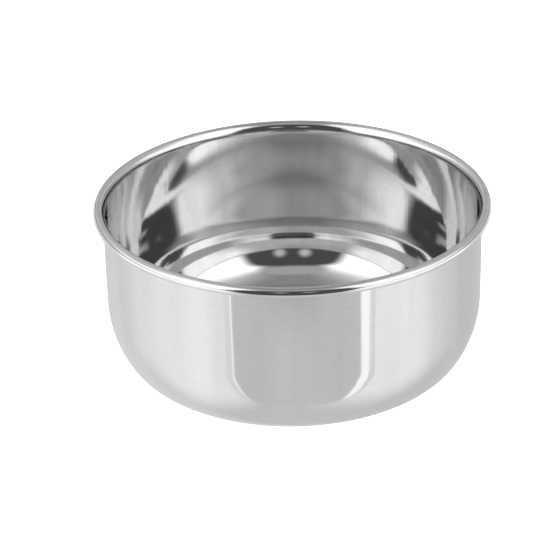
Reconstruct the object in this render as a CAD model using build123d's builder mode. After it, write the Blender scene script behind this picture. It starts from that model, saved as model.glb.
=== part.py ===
from build123d import *
from math import cos, radians, sin, tan
import os

# Shaving bowl: one round blank of stainless sheet, deep drawn, with its edge curled outward into a bead.
# Millimetres and degrees. The origin is the centre of the underside, and +Z goes up the bowl's axis.
# Every bend radius is measured on the outside of its bend.

# Driving dimensions.
rim_diameter = 100.0  # over the curled bead
bowl_height = 47.0  # underside of the floor to the crest of the bead
sheet_thickness = 0.6

# The drawn body.
wall_taper = 1.3  # the bowed wall is upright at the neck and leans in by this much at its lower end
shoulder_radius = 25.9  # large bend between the wall and the heel
heel_radius = 12.0  # the body's tightest bend
heel_turn = 34.0
base_radius = 37.0  # wide bend that lifts the underside gently off the flat floor
base_turn = 24.5

# The hollow curl, in order from the upright wall to the raw edge.
flare_radius = 3.2  # gentle bend that leads the wall outward
flare_turn = 41.0
crest_radius = 1.2  # tight bend over the top of the bead
crest_turn = 98.0
side_radius = 1.75  # the gently rounded outer side of the bead
side_turn = 31.0
hem_radius = 1.1  # tight bend that takes the edge in and up again under the bead
hem_turn = 135.0
hem_clearance = 0.1  # raw edge to the wall

# The sheet's heading where each bend of the curl starts: 90 is straight up and 0 is level, going outward.
crest_start = 90.0 - flare_turn
side_start = crest_start - crest_turn
hem_start = side_start - side_turn

def bend_reach(radius, start, end):
    """Give how far out an outward bend carries the sheet between two headings."""
    return radius * (sin(radians(start)) - sin(radians(end)))

def bend_rise(radius, start, end):
    """Give how far up an outward bend carries the sheet between two headings."""
    return radius * (cos(radians(end)) - cos(radians(start)))

# The bead is widest where the hem heads straight down, and that leaves the neck's outside radius.
curl_reach = bend_reach(flare_radius, 90, crest_start) + bend_reach(crest_radius, crest_start, side_start)
curl_reach += bend_reach(side_radius, side_start, hem_start) + bend_reach(hem_radius, hem_start, -90)
neck_radius = rim_diameter / 2 - curl_reach + sheet_thickness

# The wall takes the height that the curl and the three body bends leave.
crest_rise = bend_rise(flare_radius, 90, crest_start) + bend_rise(crest_radius, crest_start, 0)
shoulder_start = base_turn + heel_turn
shoulder_end = 90.0 - wall_taper
base_rise = base_radius * (1 - cos(radians(base_turn)))
heel_rise = heel_radius * (cos(radians(base_turn)) - cos(radians(shoulder_start)))
shoulder_rise = shoulder_radius * (cos(radians(shoulder_start)) - cos(radians(shoulder_end)))
wall_rise = bowl_height - crest_rise - shoulder_rise - heel_rise - base_rise
wall_bow_radius = wall_rise / sin(radians(wall_taper))

# The flat floor takes the radius that is left inside them.
base_reach = base_radius * sin(radians(base_turn))
heel_reach = heel_radius * (sin(radians(shoulder_start)) - sin(radians(base_turn)))
shoulder_reach = shoulder_radius * (sin(radians(shoulder_end)) - sin(radians(shoulder_start)))
wall_reach = wall_rise * tan(radians(wall_taper) / 2)
floor_radius = neck_radius - wall_reach - shoulder_reach - heel_reach - base_reach

# All the bends as (radius, turn), from the floor to the hem. A positive turn goes up, a negative one outward.
bends = [
    (base_radius, base_turn),
    (heel_radius, heel_turn),
    (shoulder_radius, shoulder_end - shoulder_start),
    (wall_bow_radius, wall_taper),
    (flare_radius, -flare_turn),
    (crest_radius, -crest_turn),
    (side_radius, -side_turn),
    (hem_radius, -hem_turn),
]

def draw_face(lift):
    """Draw the sheet's face that lies lift above its outer face, and return its two ends."""
    run = Line((0, lift), (floor_radius, lift))
    start = run @ 0
    for radius, turn in bends:
        bend_radius = radius - lift if turn > 0 else radius - sheet_thickness + lift
        run = JernArc(run @ 1, run % 1, bend_radius, turn)
    # The hem is straight, and its raw edge is cut square, hem_clearance from the wall.
    direction = run % 1
    bright_corner = (run @ 1).X - (sheet_thickness - lift) * direction.Y
    hem_length = (neck_radius + hem_clearance - bright_corner) / direction.X
    hem = Line(run @ 1, run @ 1 + direction * hem_length)
    return start, hem @ 1

with BuildPart() as bowl_shell:
    with BuildSketch(Plane.XZ):
        with BuildLine():
            outer_start, outer_end = draw_face(0)
            bright_start, bright_end = draw_face(sheet_thickness)
            Line(outer_start, bright_start)
            Line(outer_end, bright_end)
        make_face()
    revolve(axis=Axis.Z)

bowl_shell.part.label = "bowl_shell"

os.makedirs("parts", exist_ok=True)
export_step(bowl_shell.part, "parts/bowl_shell.step")

print("flat floor radius", round(floor_radius, 2), "neck radius", round(neck_radius, 2))
print("size", bowl_shell.part.bounding_box().size)
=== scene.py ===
from collections import namedtuple
from math import cos, pi, radians, sin, tan

import bmesh
import bpy
from mathutils import Euler, Matrix, Vector


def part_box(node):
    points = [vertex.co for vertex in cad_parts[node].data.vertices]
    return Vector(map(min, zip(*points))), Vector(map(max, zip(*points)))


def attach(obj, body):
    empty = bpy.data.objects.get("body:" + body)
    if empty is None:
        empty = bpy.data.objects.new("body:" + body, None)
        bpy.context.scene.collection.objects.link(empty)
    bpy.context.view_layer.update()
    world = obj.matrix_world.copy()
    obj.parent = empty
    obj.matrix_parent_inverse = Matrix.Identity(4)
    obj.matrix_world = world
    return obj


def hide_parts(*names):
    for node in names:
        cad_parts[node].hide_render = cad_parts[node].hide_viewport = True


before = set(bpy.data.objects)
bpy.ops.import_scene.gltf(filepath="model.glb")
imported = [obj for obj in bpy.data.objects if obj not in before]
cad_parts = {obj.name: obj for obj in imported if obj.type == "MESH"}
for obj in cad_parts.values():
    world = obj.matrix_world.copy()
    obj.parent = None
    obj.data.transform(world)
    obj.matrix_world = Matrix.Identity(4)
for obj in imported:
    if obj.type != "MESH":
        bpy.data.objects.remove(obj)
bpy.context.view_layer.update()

MM = 0.001
shell_low, shell_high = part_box("bowl_shell")
rim_radius = shell_high.x
rim_height = shell_high.z

# The sheet and its bends, the same as in the CAD model. Every bend radius is measured on the outside of
# its bend, and a heading of 90 is straight up and 0 is level, going outward.
sheet_thickness = 0.6 * MM
wall_taper = 1.3
shoulder_radius = 25.9 * MM
heel_radius = 12.0 * MM
heel_turn = 34.0
base_radius = 37.0 * MM
base_turn = 24.5
shoulder_start = base_turn + heel_turn
shoulder_end = 90 - wall_taper
flare_radius = 3.2 * MM
flare_turn = 41.0
crest_radius = 1.2 * MM
crest_turn = 98.0
side_radius = 1.75 * MM
side_turn = 31.0
hem_radius = 1.1 * MM
hem_turn = 135.0
hem_clearance = 0.1 * MM

# How rough the polish is, what the marks in it add, and how far down from its crest the rim is worn.
polish_roughness = 0.035
cloud_roughness = 0.03
spin_line_roughness = 0.03
worn_roughness = 0.03
worn_depth = 1.5 * MM

# How high the marks in the polish stand.
draw_line_height = 0.008 * MM
waviness_height = 0.03 * MM
spin_line_height = 0.0002 * MM
ring_height = 0.02 * MM

# The steel's grey, and how far each mark can shift it.
steel_grey = 0.80
grain_tint = 0.06
brushing_tint = 0.05
cloud_tint = 0.07
band_tint = 0.20
speck_tint = -0.25

# The table top's half width, and the hair's breadth that keeps it clear of the underside.
table_reach = 40 * rim_radius
table_gap = 0.05 * MM

segments_around = 256
floor_rings = 8  # rings of faces across the flat floor, on each side of the sheet


def bend_reach(radius, start, end):
    """How far out an outward bend carries the sheet between two headings. Less than 0 for an upward bend."""
    return radius * (sin(radians(start)) - sin(radians(end)))


def bend_rise(radius, start, end):
    """How far up an outward bend carries the sheet between two headings. Less than 0 for an upward bend."""
    return radius * (cos(radians(end)) - cos(radians(start)))


def body_sizes():
    """The flat floor's radius, the neck's outside radius and the wall's bow, left over by the bends."""
    crest_start = 90 - flare_turn
    side_start = crest_start - crest_turn
    hem_start = side_start - side_turn
    reach = bend_reach(flare_radius, 90, crest_start) + bend_reach(crest_radius, crest_start, side_start)
    reach += bend_reach(side_radius, side_start, hem_start) + bend_reach(hem_radius, hem_start, -90)
    neck_radius = rim_radius - reach + sheet_thickness
    wall_rise = rim_height
    wall_rise -= bend_rise(flare_radius, 90, crest_start) + bend_rise(crest_radius, crest_start, 0)
    wall_rise += bend_rise(base_radius, 0, base_turn) + bend_rise(heel_radius, base_turn, shoulder_start)
    wall_rise += bend_rise(shoulder_radius, shoulder_start, shoulder_end)
    floor_radius = neck_radius - wall_rise * tan(radians(wall_taper) / 2)
    floor_radius += bend_reach(base_radius, 0, base_turn)
    floor_radius += bend_reach(heel_radius, base_turn, shoulder_start)
    floor_radius += bend_reach(shoulder_radius, shoulder_start, shoulder_end)
    return floor_radius, neck_radius, wall_rise / sin(radians(wall_taper))


floor_radius, neck_radius, wall_bow_radius = body_sizes()

# The bends from the floor to the hem, each with the number of steps that it is drawn in.
Bend = namedtuple("Bend", "radius turn steps")
bends = [
    Bend(base_radius, base_turn, 12),
    Bend(heel_radius, heel_turn, 14),
    Bend(shoulder_radius, shoulder_end - shoulder_start, 16),
    Bend(wall_bow_radius, wall_taper, 24),
    Bend(flare_radius, -flare_turn, 12),
    Bend(crest_radius, -crest_turn, 24),
    Bend(side_radius, -side_turn, 8),
    Bend(hem_radius, -hem_turn, 24),
]


def face_profile(lift):
    """Points (radius, height) along the sheet's face that lies lift above its outer face."""
    ring_radii = [floor_radius * ring / floor_rings for ring in range(1, floor_rings + 1)]
    points = [Vector((radius, lift)) for radius in ring_radii]
    heading = 0.0
    for bend in bends:
        side = 1 if bend.turn > 0 else -1
        radius = bend.radius - lift if bend.turn > 0 else bend.radius - sheet_thickness + lift
        towards_centre = Vector((-sin(radians(heading)), cos(radians(heading)))) * side
        centre = points[-1] + towards_centre * radius
        for step in range(1, bend.steps + 1):
            turned = radians(heading + bend.turn * step / bend.steps)
            points.append(centre + Vector((sin(turned), -cos(turned))) * radius * side)
        heading += bend.turn
    direction = Vector((cos(radians(heading)), sin(radians(heading))))
    bright_corner = points[-1].x - (sheet_thickness - lift) * direction.y
    hem_length = (neck_radius + hem_clearance - bright_corner) / direction.x
    points.append(points[-1] + direction * hem_length)
    return points


def make_object(name, mesh):
    """A new object in the scene, made from a finished bmesh."""
    data = bpy.data.meshes.new(name)
    mesh.to_mesh(data)
    mesh.free()
    piece = bpy.data.objects.new(name, data)
    bpy.context.scene.collection.objects.link(piece)
    return piece


def add_ring(mesh, point):
    """A ring of vertices round the axis."""
    ring = []
    for segment in range(segments_around):
        angle = 2 * pi * segment / segments_around
        ring.append(mesh.verts.new((point.x * cos(angle), point.x * sin(angle), point.y)))
    return ring


def join_rings(mesh, ring, next_ring):
    """A band of faces between two rings."""
    for segment in range(segments_around):
        after = (segment + 1) % segments_around
        mesh.faces.new((ring[segment], ring[after], next_ring[after], next_ring[segment]))


def close_disc(mesh, ring, height):
    """A fan of faces from a ring to the axis."""
    middle = mesh.verts.new((0, 0, height))
    for segment in range(segments_around):
        mesh.faces.new((ring[segment], ring[(segment + 1) % segments_around], middle))


def make_shell():
    """The drawn sheet: its outer face, its raw edge and its bright face, turned round the axis."""
    mesh = bmesh.new()
    profile = face_profile(0) + face_profile(sheet_thickness)[::-1]
    rings = [add_ring(mesh, point) for point in profile]
    for ring, next_ring in zip(rings, rings[1:]):
        join_rings(mesh, ring, next_ring)
    close_disc(mesh, rings[0], 0)
    close_disc(mesh, rings[-1], sheet_thickness)
    bmesh.ops.recalc_face_normals(mesh, faces=mesh.faces)
    shell = make_object("polished_bowl", mesh)
    shell.data.shade_smooth()
    shell.data.set_sharp_from_angle(angle=radians(40))
    return shell


# The light tent, as the bowl sees it: soft-edged rounded panels by direction, each painted over the ones
# before it. Azimuth 0 is the camera's side, 90 is the camera's right and elevation 90 is straight up, in
# degrees. Edge is the softness as a share of the panel's size, and a higher corner number is squarer.
# Brightness 1 is the white of the background.
Panel = namedtuple("Panel", "azimuth half_width elevation half_height edge corner brightness")
all_round = 400
ceiling_brightness = 0.28

# Stray light on the tent's cloth.
cloth = [
    Panel(-85, 62, 25, 42, 0.45, 3, 0.92),
    Panel(78, 48, 25, 42, 0.45, 3, 0.77),
    Panel(180, 75, 33, 32, 0.30, 3, 0.42),
    Panel(-138, 28, 33, 30, 0.60, 3, 0.60),
    Panel(138, 28, 33, 30, 0.60, 3, 0.50),
]

# A tall softbox on each side of the camera, and a low wide one that reaches further round from it.
softboxes = [
    Panel(-43, 38, 20, 34, 0.28, 3, 1.38),
    Panel(43, 38, 20, 34, 0.28, 3, 1.38),
    Panel(-65, 58, 15, 10, 0.30, 4, 1.38),
    Panel(60, 46, 15, 10, 0.30, 4, 1.32),
]

# The top of the tent's front, the foot of its back, and the gap behind the table with its two lighter ends.
tent_edges = [
    Panel(0, 31, 58, 15, 0.25, 3, 0.42),
    Panel(180, 85, 10, 7, 0.40, 3, 0.60),
    Panel(180, 92, 3, 4, 0.50, 4, 0.20),
    Panel(-65, 32, 3, 3, 0.50, 3, 0.65),
    Panel(65, 32, 3, 3, 0.50, 3, 0.65),
]

# The table round the bowl, and the light that falls on it at the left and right.
near_table = [
    Panel(0, all_round, -90, 88, 0.02, 8, 0.63),
    Panel(-110, 72, -43, 22, 0.35, 3, 0.75),
    Panel(-72, 37, -36, 26, 0.50, 3, 0.96),
    Panel(58, 42, -36, 26, 0.60, 3, 0.98),
]

# A board that lies in front of the bowl: its shadow, its bright edge and its top.
board = [
    Panel(3.55, 46.85, -36, 25, 0.015, 6, 0.81),
    Panel(3.9, 42.8, -36, 24, 0.012, 6, 1.17),
    Panel(1.4, 39.3, -38, 27, 0.012, 6, 0.62),
]

# The table near the horizon, and the light on it at the left and right.
far_table = [
    Panel(0, all_round, -12.5, 11.5, 0.04, 8, 0.82),
    Panel(-66, 46, -12.5, 11.5, 0.15, 5, 1.30),
    Panel(66, 46, -12.5, 11.5, 0.15, 5, 1.30),
]

# The dark opening with the camera in it, its wider foot, and two glints in it.
opening = [
    Panel(0, 35, 12, 37, 0.13, 3.2, 0.075),
    Panel(0, 40, 6, 11, 0.20, 3, 0.075),
    Panel(-8, 3.4, 26, 4, 0.90, 2, 0.60),
    Panel(9, 3.4, 25.5, 4, 0.90, 2, 0.60),
]

panels = cloth + softboxes + tent_edges + near_table + board + far_table + opening


class Nodes:
    """Short calls for wiring a node tree."""

    def __init__(self, tree):
        self.tree = tree

    def add(self, kind, *values, **settings):
        """A new node, with its first inputs joined to sockets or set to numbers. Gives its first output."""
        node = self.tree.nodes.new(kind)
        for name, value in settings.items():
            setattr(node, name, value)
        for socket, value in zip(node.inputs, values):
            self.plug(value, socket)
        return node.outputs[0]

    def plug(self, value, socket):
        """Join a socket to another, or set it to a number."""
        if isinstance(value, bpy.types.NodeSocket):
            self.tree.links.new(value, socket)
        else:
            socket.default_value = value

    def math(self, operation, *values):
        """The result of a new math node."""
        return self.add("ShaderNodeMath", *values, operation=operation)

    def product(self, first, *others):
        """Several values multiplied together."""
        for other in others:
            first = self.math("MULTIPLY", first, other)
        return first

    def total(self, first, *others):
        """The sum of several values."""
        for other in others:
            first = self.math("ADD", first, other)
        return first

    def split(self, kind, output):
        """The x, y and z of a vector output of a new node."""
        source = self.tree.nodes.new(kind).outputs[output]
        parts = self.tree.nodes.new("ShaderNodeSeparateXYZ")
        self.tree.links.new(source, parts.inputs[0])
        return parts.outputs

    def soft_step(self, value, start, end, low=0.0, high=1.0):
        """Low at start, high at end, smooth between and level past them."""
        return self.add("ShaderNodeMapRange", value, start, end, low, high, interpolation_type="SMOOTHSTEP")

    def noise(self, x, y, z, detail):
        """Smooth noise from 0 to 1, with features about one unit across."""
        place = self.add("ShaderNodeCombineXYZ", x, y, z)
        node = self.tree.nodes.new("ShaderNodeTexNoise")
        self.tree.links.new(place, node.inputs["Vector"])
        node.inputs["Scale"].default_value = 1.0
        node.inputs["Detail"].default_value = detail
        return node.outputs[0]


def polished_steel():
    """Mirror-polished stainless steel, with the faint marks of drawing, spinning, polishing and use."""
    material = bpy.data.materials.new("polished_steel")
    material.use_nodes = True
    shader = material.node_tree.nodes["Principled BSDF"]
    nodes = Nodes(material.node_tree)
    x, y, z = nodes.split("ShaderNodeTexCoord", "Object")
    radius = nodes.math("SQRT", nodes.math("MULTIPLY_ADD", x, x, nodes.math("MULTIPLY", y, y)))
    divisor = nodes.math("MAXIMUM", radius, MM)  # never 0 on the axis
    cosine = nodes.math("DIVIDE", x, divisor)
    sine = nodes.math("DIVIDE", y, divisor)
    down_wall = nodes.math("SUBTRACT", z, radius)  # this changes across the floor too

    def streaks(per_turn, per_metre, detail):
        """Noise with so many features round the bowl and so many down its wall."""
        stretch = per_turn / (2 * pi)
        return nodes.noise(
            nodes.math("MULTIPLY", cosine, stretch),
            nodes.math("MULTIPLY", sine, stretch),
            nodes.math("MULTIPLY", down_wall, per_metre),
            detail,
        )

    draw_lines = streaks(per_turn=240, per_metre=12, detail=2)
    waviness = streaks(per_turn=28, per_metre=45, detail=1)
    spin_lines = streaks(per_turn=7, per_metre=1400, detail=2)
    rings = streaks(per_turn=3, per_metre=260, detail=1)
    near_base = nodes.soft_step(z, start=0.30 * rim_height, end=0.04 * rim_height)
    on_wall = nodes.soft_step(z, start=0.10 * rim_height, end=0.45 * rim_height)

    height = nodes.total(
        nodes.product(draw_lines, on_wall, draw_line_height),
        nodes.product(waviness, waviness_height),
        nodes.product(spin_lines, spin_line_height),
        nodes.product(rings, near_base, ring_height),
    )
    bump = nodes.tree.nodes.new("ShaderNodeBump")
    bump.inputs["Strength"].default_value = 1.0
    bump.inputs["Distance"].default_value = 1.0
    nodes.tree.links.new(height, bump.inputs["Height"])
    nodes.tree.links.new(bump.outputs[0], shader.inputs["Normal"])

    clouds_per_metre = 60
    cloud = nodes.noise(*(nodes.math("MULTIPLY", part, clouds_per_metre) for part in (x, y, z)), detail=4)
    dullest = polish_roughness + cloud_roughness
    roughness = nodes.total(
        nodes.soft_step(cloud, start=0.35, end=0.75, low=polish_roughness, high=dullest),
        nodes.product(spin_lines, spin_line_roughness),
        nodes.soft_step(z, start=rim_height - worn_depth, end=rim_height, high=worn_roughness),
    )
    nodes.tree.links.new(roughness, shader.inputs["Roughness"])

    # These noises average a half, so their sum leaves the steel's grey where it is.
    grain = streaks(per_turn=420, per_metre=1400, detail=3)
    brushing = streaks(per_turn=60, per_metre=1800, detail=2)
    bands = nodes.math("SUBTRACT", streaks(per_turn=40, per_metre=8, detail=2), 0.5)
    specks = streaks(per_turn=900, per_metre=2600, detail=0)
    lowest_grey = steel_grey - (grain_tint + brushing_tint + cloud_tint) / 2
    tint = nodes.total(
        nodes.math("MULTIPLY_ADD", grain, grain_tint, lowest_grey),
        nodes.product(brushing, brushing_tint),
        nodes.product(bands, on_wall, band_tint),
        nodes.product(cloud, cloud_tint),
        nodes.soft_step(specks, start=0.80, end=0.86, high=speck_tint),
    )
    nodes.tree.links.new(tint, shader.inputs["Base Color"])
    shader.inputs["Metallic"].default_value = 1
    return material


def add_world():
    """Light the scene from all round by the panels."""
    world = bpy.data.worlds.new("light_tent")
    bpy.context.scene.world = world
    world.use_nodes = True
    nodes = Nodes(world.node_tree)
    background = world.node_tree.nodes["Background"]
    x, y, z = nodes.split("ShaderNodeTexCoord", "Generated")
    azimuth = nodes.math("DEGREES", nodes.math("ARCTAN2", x, nodes.math("MULTIPLY", y, -1)))
    elevation = nodes.math("DEGREES", nodes.math("ARCSINE", z))
    light = ceiling_brightness
    for panel in panels:
        aside = nodes.math("PINGPONG", nodes.math("SUBTRACT", azimuth, panel.azimuth), 180)
        above = nodes.math("ABSOLUTE", nodes.math("SUBTRACT", elevation, panel.elevation))
        aside = nodes.math("POWER", nodes.math("DIVIDE", aside, panel.half_width), panel.corner)
        above = nodes.math("POWER", nodes.math("DIVIDE", above, panel.half_height), panel.corner)
        from_centre = nodes.math("POWER", nodes.math("ADD", aside, above), 1 / panel.corner)
        inside = nodes.soft_step(from_centre, 1 + panel.edge, 1 - panel.edge)
        light = nodes.math("MULTIPLY_ADD", inside, nodes.math("SUBTRACT", panel.brightness, light), light)
    nodes.tree.links.new(light, background.inputs["Color"])


def add_floor():
    """A plain white table top."""
    mesh = bmesh.new()
    bmesh.ops.create_grid(mesh, x_segments=4, y_segments=4, size=table_reach)
    floor = make_object("table_top", mesh)
    floor.location.z = shell_low.z - table_gap
    material = bpy.data.materials.new("white_acrylic")
    material.use_nodes = True
    shader = material.node_tree.nodes["Principled BSDF"]
    shader.inputs["Base Color"].default_value = (0.9, 0.9, 0.9, 1)
    shader.inputs["Roughness"].default_value = 0.6
    shader.inputs["Emission Color"].default_value = (1, 1, 1, 1)
    shader.inputs["Emission Strength"].default_value = 1.0
    floor.data.materials.append(material)
    floor.visible_glossy = False


def add_camera():
    """A long lens that looks down over the rim, aimed a little below its centre and rolled slightly."""
    elevation = radians(25.408)
    distance = 0.80734
    tilt = radians(-1.334)
    turn = radians(0.331)
    roll = radians(-1.188)
    aim = Euler((tilt, turn, roll), "ZXY")
    camera = bpy.data.objects.new("camera", bpy.data.cameras.new("camera"))
    bpy.context.scene.collection.objects.link(camera)
    place = Vector((0, -distance * cos(elevation), rim_height + distance * sin(elevation)))
    level = Matrix.Rotation(pi / 2 - elevation, 4, "X")
    camera.matrix_world = Matrix.Translation(place) @ level @ aim.to_matrix().to_4x4()
    camera.data.sensor_width = 36
    camera.data.lens = 210.58
    camera.data.clip_start = 0.01
    bpy.context.scene.camera = camera


shell = make_shell()
shell.data.materials.append(polished_steel())
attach(shell, "root")
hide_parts("bowl_shell")

add_world()
add_floor()
add_camera()
scene = bpy.context.scene
scene.view_settings.view_transform = "Standard"
scene.cycles.max_bounces = 16
scene.cycles.glossy_bounces = 12
